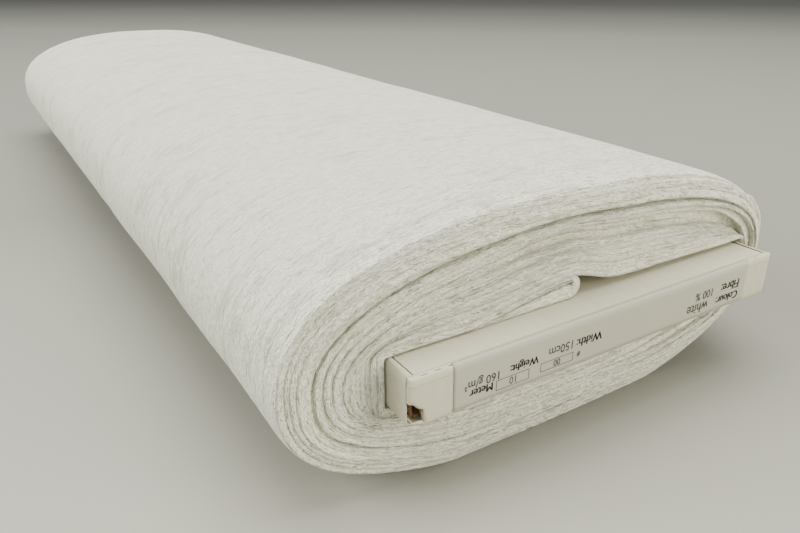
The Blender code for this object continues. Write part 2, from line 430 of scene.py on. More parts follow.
class Cloth:
    """The doubled cloth as a spiral of one sheet, which is folded along the near end.

    A turn number t gives a level (t + 1/2) / all turns and a fraction t + the lip's fraction. The
    two plies stand on either side of that line, the fold joins them with half a circle, and the
    level is then stretched by the air gaps, rounded off at the ends, lifted over the lip and kept
    above the floor that the nested turns press on.
    """

    def __init__(self, settings):
        self.settings = settings
        self.last = settings.turns + (HINGE_FRACTION - LIP_FRACTION)
        self.free = self.last + (1 + FREE_END_FRACTION - HINGE_FRACTION)

    def half_spacing(self, fraction):
        """Half of the room that one turn has, in metres, and the whole depth of cloth there."""
        ones = np.ones(np.shape(fraction))
        depth = wound_point(ones, fraction) - wound_point(0 * ones, fraction)
        depth = np.linalg.norm(depth, axis=-1)
        return depth / self.last / 2, depth

    def edge(self, turn, fraction, level):
        """How far back the folded edge stands from the near end."""
        stacked = np.stack([np.interp(level, GROOVE_LEVELS, groove) for groove in GROOVES])
        low, high, part = places_beside(fraction)
        index = np.arange(len(turn))
        groove = stacked[low, index] * (1 - part) + stacked[high, index] * part
        uneven = sum(
            share * smooth_noise(turn * each, turn * 0 + offset, seed)
            for each, offset, seed, share in EDGE_STEPS
        )
        back = groove * 0.001 + self.settings.end_unevenness * uneven
        return np.maximum(back, EDGE_LEAST)

    def far_edge(self, turn, ply):
        """How far back a selvage stands from the far end: both plies wander on their own."""
        wander = sum(
            share * smooth_noise(turn * each, turn * 0 + offset + 7 * ply, seed)
            for each, offset, seed, share in SELVAGE_STEPS
        )
        return SELVAGE_BACK + SELVAGE_WANDER * np.clip(wander, -WANDER_LIMIT, WANDER_LIMIT)

    def stretched(self, level, fraction):
        """Level with the air gaps in it: steep across a gap, and less than 1 beside it."""
        for middle, abrupt, shares in AIR_GAPS:
            share = around(fraction, shares)
            step = ease((level - middle + abrupt) / (2 * abrupt))
            level = level + share * (step - level) * (level < 1) * (level > 0)
        return level

    def lift(self, x, level, upper):
        """Rise of the turns that pass over the thick inner end."""
        left = 1 - ease((LIP_X - x) / LIP_RUN)
        right = ease(1 - (x - LIP_X) / LIP_FALL)
        rise = LIP_RISE * np.where(x < LIP_X, left, right) * upper
        return rise * np.clip(1 - level, 0, 1) ** LIP_FADE

    def points(self, turn, rows):
        """Places of a grid of cross rows by turn columns, and the cloth coordinates of each."""
        turn = np.asarray(turn, float)
        hem = np.maximum(-turn, 0)
        turn = np.maximum(turn, 0)
        fraction = turn + LIP_FRACTION
        level = (turn + 0.5) / self.last
        half, depth = self.half_spacing(fraction)
        loose = ease((turn - self.last) / (self.free - self.last) * LOOSENING)
        standing = FREE_END_STAND_OFF + FREE_END_HALF_THICKNESS
        loose_level = 1 + standing / depth
        level = level * (1 - loose) + loose_level * loose
        full = FREE_END_HALF_THICKNESS * loose
        puffed = FULL_AT_FOLD * half * (1 - loose) + full
        resting = FULL_INSIDE * half * (1 - loose) + FULL_LOOSE * full
        snug = FULL_AT_SELVAGE * half * (1 - loose) + resting * loose

        closing = np.ones(turn.shape)
        along = np.concatenate([[0], np.cumsum(self.steps(level, fraction))])
        if turn[-1] > self.free - AT_END:
            closing = rounded((along[-1] - along) / FREE_END_ROUND)
        if hem[0] > 0:
            closing = rounded((hem[0] - hem) * HEM_LENGTH / HEM_ROUND)

        side, fold, near, inset, reach = (rows[name][:, None] for name in ROW_NAMES)
        radius = puffed * closing
        edge = self.edge(turn, fraction, level)
        far = np.where(side > 0, self.far_edge(turn, 1), self.far_edge(turn, 0))
        y_near = ROLL_LOW[1] + edge + FOLD_FLATNESS * radius * (1 - fold) + near
        y_far = ROLL_HIGH[1] - far - inset
        start_y = ROLL_LOW[1] + edge + FOLD_FLATNESS * radius + rows["near"].max()
        end_y = ROLL_HIGH[1] - far - rows["inset"].max()
        between = start_y + (end_y - start_y) * reach
        y = np.where(reach == 0, y_near, np.where(reach >= 1, y_far, between))

        from_near = np.maximum(y - (ROLL_LOW[1] + edge), 0)
        from_far = np.maximum(ROLL_HIGH[1] - far - y, 0)
        thick = resting + (puffed - resting) * np.exp(-((from_near / FOLD_REACH) ** 2))
        thick = thick + (snug - resting) * np.exp(-((from_far / SELVAGE_REACH) ** 2))
        pinch = np.clip(1 - from_far / SELVAGE_ROUND, 0, 1) ** 2
        thick = thick * (1 - SELVAGE_PINCH * pinch)
        off = side * thick * closing

        waves = 0.0
        for each, metre, seed, height in DENTS:
            waves = waves + smooth_noise(turn * each, y * metre, seed) * height
        each, metre, seed, height = RIPPLE
        ripple = smooth_noise(turn * each, y * metre + side, seed) * height
        waves = waves + ripple * np.exp(-((from_near / ENDS_REACH) ** 2))
        fine_level = level + (off + waves) / depth
        for distance, reach_in, shares in (
            (from_near, self.settings.shoulder, NEAR_SHOULDER),
            (from_far, FAR_SHOULDER_REACH, FAR_SHOULDER),
        ):
            share = around(fraction, shares)
            q = np.clip(1 - distance / reach_in, 0, 1)
            outer = ease((level - SHOULDER_FROM) / (1 - SHOULDER_FROM))
            drop = share * outer * (1 - np.sqrt(1 - q * q * NEARLY_ONE))
            fine_level = fine_level - drop
        fine_level = self.stretched(np.maximum(fine_level, 0.0), fraction + 0 * fine_level)
        place = wound_point(fine_level, fraction + 0 * fine_level)
        x, z = place[..., 0], place[..., 1]
        round_part = np.mod(fraction, 1)
        upper = ease((round_part - UPPER_PART[0]) / UPPER_EASE)
        upper = upper * ease((UPPER_PART[1] - round_part) / UPPER_EASE)
        z = z + self.lift(x, fine_level, upper)
        z = np.where(round_part > 0.5, pressed_up(z, fine_level), z)
        if hem[0] > 0:
            taper = 1 - HEM_TAPER * ease((hem - HEM_BEND) / (1 - HEM_BEND))
            x, z = self.hemmed(x, z, hem, off * taper)
        across = np.sign(side) * from_near + np.arcsin(side) * radius * FOLD_GIRTH
        wound = along - hem * HEM_WOUND
        return np.stack([x, y, z], axis=-1), np.stack([wound + 0 * across, across], axis=-1)

    def hemmed(self, x, z, hem, off):
        """Moves the columns before the spiral to the hem that is folded back under its start.

        They run round half a circle about a line under the spiral's first point, and then straight
        back along the board; each point stands off that path by its ply's offset, which grows until
        the hem fills the room under the spiral's first turn.
        """
        first = int(np.argmin(hem > 0))
        top_x = x[:, first].mean()
        top_z = (z[:, first] - off[:, first]).mean()
        above = np.abs(off[:, first]).max()
        room = (top_z.mean() - above - BOARD_TOP - HEM_GAP) / 2
        off = off * (1 + np.maximum(room / above - 1, 0) * ease(hem / HEM_BEND))
        low_z = BOARD_TOP + HEM_GAP + np.abs(off).max(axis=0)
        bend = (top_z - low_z) / 2
        angle = math.pi / 2 - math.pi * np.clip(hem / HEM_BEND, 0, 1)
        back = np.clip((hem - HEM_BEND) / (1 - HEM_BEND), 0, 1) * HEM_LENGTH
        path_x = top_x + bend * np.cos(angle) - back
        path_z = low_z + bend + bend * np.sin(angle)
        turned = hem > 0
        x = np.where(turned, path_x + np.cos(angle) * off, x)
        z = np.where(turned, path_z + np.sin(angle) * off, z)
        return x, z

    def steps(self, level, fraction):
        """Lengths from each column of the sheet to the next."""
        place = wound_point(level, fraction)
        return np.hypot(*np.diff(place, axis=0).T)


def cross_rows(middle):
    """The rows across the cloth, from the inner ply's selvage round the fold to the outer's.

    Each has a side (-1 the inner ply, 1 the outer, between them round the fold), and its place
    along the bolt: from the fold, part of the way, or in from the selvage.
    """
    rows = [(-1, 0, 0, distance, 1) for distance in INSET_ROWS[::-1]]
    rows += [(-1, 0, 0, 0, part) for part in COARSE_PARTS[::-1]]
    rows += [(-1, 0, distance, 0, 0) for distance in NEAR_ROWS[::-1]]
    for angle in np.linspace(-math.pi / 2, math.pi / 2, FOLD_ROWS):
        rows.append((math.sin(angle), math.cos(angle), 0, 0, 0))
    rows += [(1, 0, distance, 0, 0) for distance in NEAR_ROWS]
    rows += [(1, 0, 0, 0, part) for part in middle]
    rows += [(1, 0, 0, distance, 1) for distance in INSET_ROWS]
    return {name: np.array(column, float) for name, column in zip(ROW_NAMES, zip(*rows))}


def stitched_sheet(cloth, coarse_turns, fine_turns):
    """Points, coordinates and faces of a coarse grid that goes on into a finer one.

    The finer grid has every row of the coarse one. Where they meet, one face spans each pair of
    coarse points and all the fine ones beside it, so no edge is left hanging.
    """
    coarse = cross_rows(COARSE_PARTS)
    fine_parts = np.linspace(0, 1, FINE_PARTS)[1:-1]
    for part in COARSE_PARTS:
        fine_parts[np.argmin(np.abs(fine_parts - part))] = part
    fine = cross_rows(fine_parts)
    first, first_uv = cloth.points(coarse_turns, coarse)
    second, second_uv = cloth.points(fine_turns, fine)
    second_uv[..., 0] += first_uv[0, -1, 0] - second_uv[0, 0, 0]
    second, second_uv = second[:, 1:], second_uv[:, 1:]
    first_columns, second_columns = first.shape[1], second.shape[1]
    start = first.shape[0] * first_columns
    faces = grid_faces(first.shape[0], first_columns).tolist()
    faces += grid_faces(second.shape[0], second_columns, start).tolist()
    shared = [
        int(np.argmin(sum(np.abs(fine[name] - coarse[name][row]) for name in coarse)))
        for row in range(len(coarse["side"]))
    ]
    for row in range(len(shared) - 1):
        left = [(row + 1) * first_columns - 1, (row + 2) * first_columns - 1]
        right = [start + line * second_columns for line in range(shared[row], shared[row + 1] + 1)]
        faces.append([left[0]] + right + [left[1]])
    points = np.concatenate([first.reshape(-1, 3), second.reshape(-1, 3)])
    coordinates = np.concatenate([first_uv.reshape(-1, 2), second_uv.reshape(-1, 2)])
    return points, coordinates, faces


# Materials


def new_material(name):
    """A material by that name, with its nodes and its shader."""
    material = bpy.data.materials.new(name)
    material.use_nodes = True
    return material, material.node_tree, material.node_tree.nodes["Principled BSDF"]


def set_inputs(tree, made, values):
    """Links or sets a node's inputs, by name or number."""
    for key, value in dict(values).items():
        if isinstance(value, bpy.types.NodeSocket):
            tree.links.new(value, made.inputs[key])
        else:
            made.inputs[key].default_value = value


def node(tree, kind, inputs=(), **settings):
    """Adds a node with its settings and inputs."""
    made = tree.nodes.new(kind)
    for key, value in settings.items():
        setattr(made, key, value)
    set_inputs(tree, made, inputs)
    return made


def maths(tree, operation, *values):
    """One step of arithmetic on sockets and numbers."""
    return node(tree, "ShaderNodeMath", enumerate(values), operation=operation).outputs[0]


def bump(tree, height, strength, distance, below=None):
    """Relief from a height, on top of the relief below it."""
    inputs = {"Height": height, "Strength": strength, "Distance": distance}
    inputs |= {"Normal": below} if below else {}
    return node(tree, "ShaderNodeBump", inputs).outputs["Normal"]


def ramp(tree, value, *stops):
    """A colour ramp through pairs of place and colour."""
    made = node(tree, "ShaderNodeValToRGB", {"Fac": value})
    elements = made.color_ramp.elements
    while len(elements) < len(stops):
        elements.new(0.5)
    for element, (place, colour) in zip(elements, stops):
        element.position = place
        element.color = (*colour, 1) if hasattr(colour, "__len__") else (colour,) * 3 + (1,)
    return made.outputs["Color"]


def noise(tree, coordinates, scale, stretch=(1, 1, 1), detail=3.0, roughness=0.55):
    """Noise with so many features a metre, stretched along the coordinate axes."""
    placed = node(tree, "ShaderNodeMapping", {"Vector": coordinates, "Scale": stretch})
    inputs = {"Vector": placed.outputs["Vector"], "Scale": scale}
    inputs |= {"Detail": detail, "Roughness": roughness}
    return node(tree, "ShaderNodeTexNoise", inputs).outputs["Fac"]


VELVET_NOISES = {
    # features a metre round the bolt and along it, detail, roughness
    "streaks": (85, 330, 4.0, 0.62),
    "marks": (30, 110, 4.0, 0.60),
    "patches": (12, 22, 3.0, 0.55),
    "nap": (1100, 2300, 2.0, 0.60),
    "ridges": (10, 520, 3.0, 0.60),
    "fibres": (280, 800, 3.0, 0.65),
}
# Weights of the noises whose sum, the pile's lean, picks the painted shade, sheen and glints in the
# colour, the roughness and the relief
PILE_LEAN = (("streaks", 0.32), ("marks", 0.28), ("patches", 0.22), ("fibres", 0.18))
PILE_GLOSS = ((0.44, 0.95), (0.515, 0.62), (0.56, 0.22))
RIDGES_REACH = 0.055
# Painted light and shade on the floor: shares of its colour, from a painted pool of light in front
# to painted shade far off
FLOOR_PAINTED_LIGHT = ((0.0, 1.5), (0.15, 0.84), (0.6, 0.88), (1.0, 0.36))


def velvet_material(settings):
    """Crushed pile: streaks that run round the bolt, satin patches, glints and short nap; its
    colour holds painted shade where the pile leans away and painted sheen and glints where it
    catches the light.
    """
    material, tree, shader = new_material("crushed_velvet")
    uv = node(tree, "ShaderNodeUVMap", uv_map="cloth").outputs["UV"]
    grain = {
        name: noise(tree, uv, 1.0, (round_it, along_it, 1), detail, roughness)
        for name, (round_it, along_it, detail, roughness) in VELVET_NOISES.items()
    }
    across = node(tree, "ShaderNodeSeparateXYZ", {"Vector": uv}).outputs["Y"]
    reach = {"Value": maths(tree, "ABSOLUTE", across), "From Min": RIDGES_REACH, "From Max": 0.0}
    near_fold = node(tree, "ShaderNodeMapRange", reach).outputs["Result"]
    lean = 0.0
    for name, weight in PILE_LEAN:
        lean = maths(tree, "MULTIPLY_ADD", grain[name], weight, lean)
    # Painted shade below the pile's own colour, and painted glints and sheen 1.09 times brighter
    # above it
    shade, light = tuple(settings.pile_shade), tuple(settings.pile)
    painted_glint = tuple(min(1.09 * c, 0.97) for c in light)
    relief = bump(tree, lean, 1.0, 0.016)
    relief = bump(tree, maths(tree, "MULTIPLY", grain["ridges"], near_fold), 0.6, 0.0022, relief)
    finish = {
        "Base Color": ramp(
            tree, lean, (0.43, shade), (0.50, light), (0.525, light), (0.56, painted_glint)
        ),
        "Roughness": ramp(tree, lean, *PILE_GLOSS),
        "Normal": bump(tree, grain["nap"], 0.5, 0.0004, relief),
        "Sheen Weight": 0.30,
        "Sheen Roughness": 0.5,
        "Specular IOR Level": 0.7,
    }
    set_inputs(tree, shader, finish)
    return material


def card_material(name, colour, fleck, rough):
    """Card or paper: fine fibres over a cloudy tone, with a slight relief."""
    material, tree, shader = new_material(name)
    place = node(tree, "ShaderNodeTexCoord").outputs["Object"]
    fibres = noise(tree, place, 900.0, (1, 0.35, 1), 3.0, 0.6)
    cloudy = noise(tree, place, 22.0, (1, 1, 1), 3.0, 0.5)
    mixed = maths(tree, "MULTIPLY_ADD", fibres, 0.35, cloudy)
    dark = tuple(c * (1 - fleck) for c in colour)
    light = tuple(min(c * (1 + fleck), 1) for c in colour)
    finish = {
        "Base Color": ramp(tree, mixed, (0.50, dark), (0.66, tuple(colour)), (0.82, light)),
        "Roughness": ramp(tree, cloudy, (0.35, rough + 0.08), (0.65, rough - 0.06)),
        "Normal": bump(tree, mixed, 0.25, 0.0004),
        "Specular IOR Level": 0.3,
    }
    set_inputs(tree, shader, finish)
    return material


def ink_material(settings):
    """Printing ink with the paper's grain breaking it up."""
    material, tree, shader = new_material("label_ink")
    place = node(tree, "ShaderNodeTexCoord").outputs["Object"]
    grain = noise(tree, place, 2600.0, (1, 1, 1), 2.0, 0.6)
    ink = tuple(settings.ink)
    worn = tuple(c + 0.07 for c in ink)
    finish = {
        "Base Color": ramp(tree, grain, (0.45, ink), (0.75, worn)),
        "Roughness": ramp(tree, grain, (0.3, 0.5), (0.7, 0.65)),
    }
    set_inputs(tree, shader, finish)
    return material


def floor_material(settings):
    """Pale table top with a faint fine weave, painted lighter near the front and darker by slow
    steps into the distance, as painted light and shade where the lamps fall off.
    """
    material, tree, shader = new_material("pale_floor")
    place = node(tree, "ShaderNodeTexCoord").outputs["Object"]
    slow = noise(tree, place, 1.6, (1, 1, 1), 2.0, 0.5)
    fine = noise(tree, place, 1.0, (320, 1500, 1), 2.0, 0.6)
    parts = node(tree, "ShaderNodeSeparateXYZ", {"Vector": place}).outputs
    away = maths(tree, "MULTIPLY", parts["Y"], 0.9)
    away = maths(tree, "MULTIPLY_ADD", parts["X"], 0.8, away)
    away = maths(tree, "MULTIPLY_ADD", slow, 0.3, away)
    reach = {"Value": away, "From Min": -0.5, "From Max": 3.3}
    painted_falloff = node(tree, "ShaderNodeMapRange", reach).outputs["Result"]
    # Painted light and shade: the floor's colour scaled up in front and down into the distance
    painted_tones = [(at, [share * c for c in settings.floor]) for at, share in FLOOR_PAINTED_LIGHT]
    finish = {
        "Base Color": ramp(tree, painted_falloff, *painted_tones),
        "Normal": bump(tree, fine, 0.12, 0.0002),
        "Roughness": 0.75,
        "Specular IOR Level": 0.2,
    }
    set_inputs(tree, shader, finish)
    return material


def shared_material(name, make, *arguments):
    """The material of that name, made once."""
    return bpy.data.materials.get(name) or make(*arguments)


def card_finishes(settings):
    """The card's materials: the white outer liner, and the brown inner liner and flutes."""
    looks = (
        ("card_white_liner", settings.white, 0.05, 0.62),
        ("card_brown_liner", settings.brown, 0.18, 0.85),
    )
    return [shared_material(name, card_material, name, *look) for name, *look in looks]


# Card


def edge_curl(distance, radius):
    """1 at an edge, falling to 0 at a distance in from it."""
    return np.clip(1 - distance / radius, 0, 1)


SKIRT = 0.0013
EDGE_ROW = 0.0003
CURL_STEPS = 7
WASHBOARD = 0.00005
CARD_INSET = 0.0007
CURLED_INSET = 0.0026
NO_CURLS = (0, 0, 0, 0)


def thicken(piece, thickness):
    """Gives a sheet of card or paper its thickness, half of it on either side."""
    solid = piece.modifiers.new("card", "SOLIDIFY")
    solid.thickness = thickness
    solid.offset = 0


def spaced(length, step, radius, curl_low, curl_high):
    """Places along an edge: even steps, and finer ones on a curl and down the skirt beyond it."""
    quarter = radius * (1 - np.cos(np.linspace(0, math.pi / 2, CURL_STEPS)))
    low = quarter if curl_low else np.array([0.0, EDGE_ROW])
    high = length - quarter[::-1] if curl_high else np.array([length - EDGE_ROW, length])
    count = max(int(round((high[0] - low[-1]) / step)), 1)
    places = np.concatenate([low[:-1], np.linspace(low[-1], high[0], count + 1), high[1:]])
    if curl_low:
        places = np.concatenate([[-SKIRT], places])
    if curl_high:
        places = np.concatenate([places, [length + SKIRT]])
    return places


def card_layer(a, b, depth):
    """One layer of card over panel coordinates a and b, as points of (a, b, depth)."""
    a, b = np.meshgrid(a, b, indexing="ij")
    return np.stack([a, b, depth(a, b) if callable(depth) else np.full(a.shape, depth)], axis=-1)


def make_card(name, settings, origin, ways, size, curls=NO_CURLS, inset=CARD_INSET, cut=None):
    """A panel of corrugated card: an outer liner, flutes and an inner liner.

    In the panel's coordinates a runs across the flutes, b along them, and depth into the card.
    The flutes are depth = middle + height * sin(2 pi a / pitch). The outer liner curls in along
    the edges marked in curls with a quarter ellipse, depth = d (1 - sqrt(1 - (1 - e / r)^2)) at a
    distance e from the edge, and goes on straight down a skirt. cut moves a layer's low b edge as
    a function of a.
    """
    width, length, thickness = size
    radius, depth = min(settings.crease_drop, 0.4 * min(width, length)), settings.crease_depth
    liner = settings.liner
    middle, height = thickness / 2, thickness / 2 - 1.25 * liner
    a_places = spaced(width, settings.flute_pitch / 8, radius, curls[0], curls[1])
    b_places = spaced(length, max(length / 6, 0.004), radius, curls[2], curls[3])

    def outer(a, b):
        """Depth of the outer liner: curled at the marked edges, with the flutes faintly in it."""
        distances = (a, width - a, b, length - b)
        curl = [edge_curl(d, radius) * curled for d, curled in zip(distances, curls)]
        out = np.maximum(curl[0], curl[1]) ** 2 + np.maximum(curl[2], curl[3]) ** 2
        drop = depth * (1 - np.sqrt(1 - np.clip(out, 0, 1)))
        beyond = np.maximum.reduce([-a, a - width, -b, b - length, 0 * a])
        washboard = WASHBOARD * np.sin(FULL_TURN * a / settings.flute_pitch)
        return liner / 2 + drop + beyond + washboard + WASHBOARD

    flutes_a = np.linspace(inset, width - inset, max(int(width / settings.flute_pitch * 10), 8))
    inner_b = np.linspace(CARD_INSET, length - CARD_INSET, 5 if cut else 2)

    def flute(a, _):
        """Depth of the flutes, the same all along b."""
        return middle + height * np.sin(FULL_TURN * a / settings.flute_pitch)

    skin = card_layer(a_places, b_places, outer)
    skin[..., 0] = np.clip(skin[..., 0], 0, width)
    skin[..., 1] = np.clip(skin[..., 1], 0, length)
    layers = [
        skin,
        card_layer(flutes_a, inner_b, flute),
        card_layer(flutes_a, inner_b, thickness - liner / 2 - WASHBOARD),
    ]
    if cut is not None:
        for number, layer in enumerate(layers):
            low = cut(layer[..., 0], number)
            layer[..., 1] = low + layer[..., 1] * (length - low) / length
    starts = np.cumsum([0] + [layer.size // 3 for layer in layers])
    faces = [grid_faces(*layer.shape[:2], start) for layer, start in zip(layers, starts)]
    kinds = [np.full(len(made), min(number, 1), np.int32) for number, made in enumerate(faces)]
    local = np.concatenate([layer.reshape(-1, 3) for layer in layers])
    axes = np.array(ways, float)
    world = np.array(origin, float) + local @ axes
    faces = np.concatenate(faces)
    if np.dot(np.cross(axes[0], axes[1]), axes[2]) > 0:
        faces = faces[:, ::-1]
    panel = mesh_of(name, world, faces, card_finishes(settings))
    panel.data.polygons.foreach_set("material_index", np.concatenate(kinds))
    thicken(panel, liner)
    return panel


def card_from_node(name, cad_node, settings, outside, flutes, body, curls=NO_CURLS, cut=None):
    """Replaces a card plate: outside is the side of the white liner, such as (2, 1) for +Z."""
    low, high = (np.array(corner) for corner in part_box(cad_node))
    axis, sign = outside
    across = ({0, 1, 2} - {axis, flutes}).pop()
    ways = np.eye(3)
    origin = low.copy()
    if sign > 0:
        origin[axis] = high[axis]
    size = (high - low)[[across, flutes, axis]]
    ways = (ways[across], ways[flutes], -sign * ways[axis])
    inset = CURLED_INSET if curls[0] else CARD_INSET
    panel = make_card(name, settings, origin, ways, size, curls, inset, cut)
    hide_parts(cad_node)
    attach(panel, body)
    return panel


# Board ends and label

# The perforation: its row's distances from the crease, its length, and where it starts
SLOT = (0.0007, 0.0001)
SLOT_LENGTH = 0.003
SLOT_MARGIN = 0.005


def end_face(end):
    """Y of an end of the board: -1 is the near, labelled end and 1 the far one."""
    return FLAP_LOW[1] if end < 0 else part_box("far_end_flap")[1][1]


def flap_of(end):
    """The end flap's name in the CAD, which is its body's name too."""
    return "near_end_flap" if end < 0 else "far_end_flap"


def crease_rows(lead):
    """Distances over a crease: a short lead on the top, then angles round the quarter ellipse."""
    flat = [(lead, 0.0), (SLOT[0], 0.0), (SLOT[1], 0.0)]
    return np.array(flat + [(0.0, angle) for angle in np.linspace(0, math.pi / 2, 11)])


def make_crease(name, settings, end):
    """The creased liner between the top panel and an end flap, with its perforations.

    It is a quarter ellipse about a line in X, y = centre - end d sin q and z = centre + r cos q,
    drawn in towards that line at the two corners, and every other stretch of one row left open.
    """
    face = end_face(end)
    drop, deep = settings.crease_drop, settings.crease_depth
    skin = settings.liner / 2 + WASHBOARD
    corner = drop * (1 - np.cos(np.linspace(0, math.pi / 2, CURL_STEPS)))
    slots = np.arange(BOARD_LEFT + SLOT_MARGIN, BOARD_RIGHT - SLOT_MARGIN, SLOT_LENGTH)
    x = [[BOARD_LEFT], BOARD_LEFT + corner, slots, BOARD_RIGHT - corner[::-1], [BOARD_RIGHT]]
    x = np.concatenate(x)
    panel_low, panel_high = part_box("board_top_panel")
    panel_end = panel_low[1] if end < 0 else panel_high[1]
    rows = crease_rows(abs(panel_end - face) - deep)
    inner = np.maximum(edge_curl(x - BOARD_LEFT, drop), edge_curl(BOARD_RIGHT - x, drop))
    reach = np.sqrt(np.clip(1 - inner**2, 0, 1))[None, :]
    lead, angle = rows[:, :1], rows[:, 1:]
    y = face - end * (deep + lead) + end * (deep - skin) * reach * np.sin(angle)
    z = BOARD_TOP - drop + (drop - skin) * np.cos(angle) + 0 * reach
    y[3:, [0, -1]] -= end * SKIRT
    points = np.stack([np.broadcast_to(x, z.shape), y, z], axis=-1)
    faces = grid_faces(len(rows), len(x))
    if end > 0:
        faces = faces[:, ::-1]
    row, column = np.divmod(np.arange(len(faces)), len(x) - 1)
    slotted = (row == 1) & (column > len(corner)) & (column < len(corner) + len(slots))
    slotted &= (column - len(corner)) % 2 == 1
    crease = mesh_of(name, points.reshape(-1, 3), faces[~slotted], card_finishes(settings))
    thicken(crease, settings.liner)
    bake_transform(crease)
    return crease


TORN_WIDTH = 0.0064
TORN_HEIGHT = 0.0108
TORN_SHARES = (1.0, 0.90, 0.84)
HINGE_TEAR = (0.0085, 0.002)
TORN_OUTLINE = ((0, 0.25, 0.45, 0.7, 0.95, 1.05), (1, 0.93, 0.85, 0.74, 0.58, 0.0))


def ragged(distance, layer, features, offset, share, seed):
    """A factor about 1 that goes up and down along a tear, in each layer on its own."""
    noise_at = smooth_noise(distance * features, distance * 0 + offset + 9 * layer, seed)
    return 1 + share * noise_at


def torn_edge(across, layer):
    """How high a layer's lower edge is torn: ragged steps down to nothing at the tear's width."""
    share = TORN_SHARES[layer]
    place = across / (TORN_WIDTH * (0.55 + 0.45 * share))
    height = np.interp(place, *TORN_OUTLINE)
    return TORN_HEIGHT * share * height * ragged(across, layer, 1400, 3.5, 0.10, 51)


def torn_hinge(up, layer):
    """How far in from the wall a dust flap's layer is torn, up to the height of the tear."""
    low, over = HINGE_TEAR
    depth = TORN_WIDTH * (1.1 - 0.12 * layer) * ragged(up, layer, 1500, 60.5, 0.12, 53)
    return depth * (1 - ease((up - low) / over))


def make_end_flap(settings, end):
    """The card that closes an end; the near one has a torn lower corner."""
    name = "near_end_card" if end < 0 else "far_end_card"
    cad_node = flap_of(end)
    size = (BOARD_RIGHT - BOARD_LEFT, BOARD_TOP - BOARD_BOTTOM - settings.crease_drop, CARD)
    flap = make_card(
        name,
        settings,
        (BOARD_LEFT, end_face(end), BOARD_BOTTOM),
        ((1, 0, 0), (0, 0, 1), (0, -end, 0)),
        size,
        (1, 1, 1, 0),
        cut=torn_edge if end < 0 else None,
    )
    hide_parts(cad_node)
    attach(flap, cad_node)
    return flap


# Stand-offs from the card, how far the paper goes over the top, its line width and thickness
LABEL_STAND_OFF = 0.00018
LABEL_OVER_TOP = 0.0011
INK_STAND_OFF = 0.00032
LABEL_TEXT = (
    # words, heavy, middle from the board's middle, height above its lower edge, width
    ("160 g/m²", False, -0.0734, 0.0107, 0.0164),
    ("Weight:", True, -0.0526, 0.0112, 0.0145),
    ("Meter", True, -0.0737, 0.0063, 0.0112),
    ("10", False, -0.0583, 0.0056, 0.0033),
    ("150cm", False, -0.0337, 0.0116, 0.0128),
    ("Width:", True, -0.0178, 0.0112, 0.0146),
    ("00", False, -0.0353, 0.0059, 0.0036),
    ("#", True, -0.0234, 0.0059, 0.0020),
    ("100 %", False, 0.0555, 0.0116, 0.0120),
    ("Fibre:", True, 0.0745, 0.0116, 0.0135),
    ("white", False, 0.0520, 0.0057, 0.0150),
    ("Colour:", True, 0.0735, 0.0057, 0.0165),
)
LABEL_BOXES = ((-0.0665, -0.0500, 0.0033, 0.0079), (-0.0440, -0.0265, 0.0039, 0.0079))
BOX_LINE = 0.00026
PAPER = 0.00012
LABEL_WAVE = 0.00005
LABEL_RAGGED = 0.00025
RAGGED_FROM = 0.03
HEAVY_SHIFTS = (-0.032, 0, 0.032)


def make_label(settings, material):
    """The paper label: a sheet over the face that bends back over the crease at its top."""
    drop, deep = settings.crease_drop, settings.crease_depth
    angle = np.concatenate([[0], np.linspace(0, math.pi / 2, 10)])
    centre_y, centre_z = FLAP_LOW[1] + deep, BOARD_TOP - drop
    face_z = np.linspace(centre_z, LABEL_LOW[2], 10)[1:]
    over_y = centre_y - (deep + LABEL_STAND_OFF) * np.sin(angle)
    over_y[0] = centre_y + LABEL_OVER_TOP
    over_z = centre_z + (drop + LABEL_STAND_OFF) * np.cos(angle)
    y = np.concatenate([over_y, face_z * 0 + over_y[-1]])
    z = np.concatenate([over_z, face_z])
    x = np.linspace(LABEL_LOW[0], LABEL_HIGH[0], 120)
    wavy = LABEL_WAVE * smooth_noise(x[None, :] * 90 + 4, z[:, None] * 160, 61)
    top = LABEL_RAGGED * smooth_noise(x * 260, x * 0 + 2.5, 62) * (x > RAGGED_FROM)
    top = np.where(np.arange(len(z))[:, None] == 0, top, 0)
    rows = (np.broadcast_to(x, wavy.shape), y[:, None] - wavy + top, z[:, None] + 0 * wavy)
    points = np.stack(rows, axis=-1).reshape(-1, 3)
    label = mesh_of("end_label_paper", points, grid_faces(len(z), len(x)), [material])
    thicken(label, PAPER)
    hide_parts("end_label")
    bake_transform(label)
    return label


def text_mesh(words, heavy):
    """Points and faces of words in the built-in face, centred, one unit wide."""
    curve = bpy.data.curves.new("words", "FONT")
    curve.body = words
    curve.resolution_u = 3
    curve.offset = 0.0 if heavy else 0.009
    curve.extrude = 0.004
    carrier = bpy.data.objects.new("words", curve)
    bpy.context.scene.collection.objects.link(carrier)
    bpy.context.view_layer.update()
    evaluated = carrier.evaluated_get(bpy.context.evaluated_depsgraph_get())
    mesh = bpy.data.meshes.new_from_object(evaluated)
    points = np.empty(len(mesh.vertices) * 3)
    mesh.vertices.foreach_get("co", points)
    points = points.reshape(-1, 3)
    faces = [list(polygon.vertices) for polygon in mesh.polygons]
    bpy.data.objects.remove(carrier)
    bpy.data.curves.remove(curve)
    bpy.data.meshes.remove(mesh)
    if heavy:
        count = len(points)
        points = np.concatenate([points + (shift, 0, 0) for shift in HEAVY_SHIFTS])
        faces = [[index + count * copy for index in face] for copy in range(3) for face in faces]
    low, high = points.min(axis=0), points.max(axis=0)
    return (points - (low + high) / 2) / (high[0] - low[0]), faces


